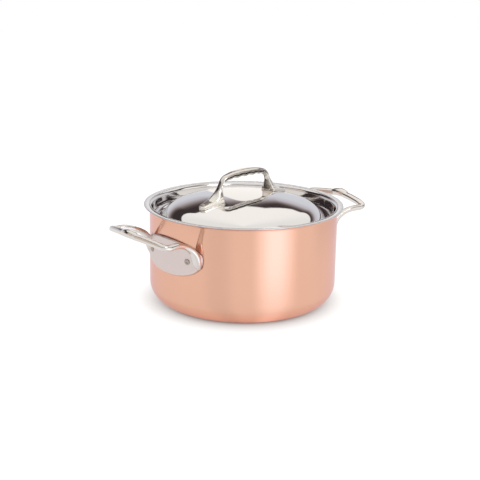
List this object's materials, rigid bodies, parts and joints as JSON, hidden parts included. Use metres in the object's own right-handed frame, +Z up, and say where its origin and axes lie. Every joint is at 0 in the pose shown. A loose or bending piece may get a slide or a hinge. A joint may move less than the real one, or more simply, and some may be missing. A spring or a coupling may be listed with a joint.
{
  "type": "stewpot with lid",
  "caption": "Low round copper stewpot with a stainless lining and turned-out rim, a cast steel loop handle on each side and a nesting domed steel lid with an arched handle.",
  "frame": {"origin": "centre of the flat base, on the surface that the pot stands on", "axes": "+Z up along the pot's axis, the two side handles along X, the lid handle turned 5.4 degrees from X towards Y"},
  "size_m": [0.3108, 0.216, 0.1457],
  "materials": {
    "copper": "polished copper",
    "brushed_lining": "brushed",
    "polished_lid": "polished stainless steel",
    "cast_steel": "polished cast stainless steel",
    "rivet_steel": "satin"
  },
  "bodies": {
    "pot": {"copper_body": "copper", "steel_lining": "brushed_lining", "side_handle_left": "cast_steel", "side_handle_right": "cast_steel", "rivet_left_front": "rivet_steel", "rivet_left_rear": "rivet_steel", "rivet_right_front": "rivet_steel", "rivet_right_rear": "rivet_steel"},
    "lid": {"lid_dome": "polished_lid", "lid_handle": "cast_steel", "lid_rivet_left": "rivet_steel", "lid_rivet_right": "rivet_steel"}
  },
  "joints": [
    {"name": "lid_lift", "type": "slide", "parent": "pot", "child": "lid", "axis": [0, 0, 1], "range_m": [0, 0.12]}
  ]
}
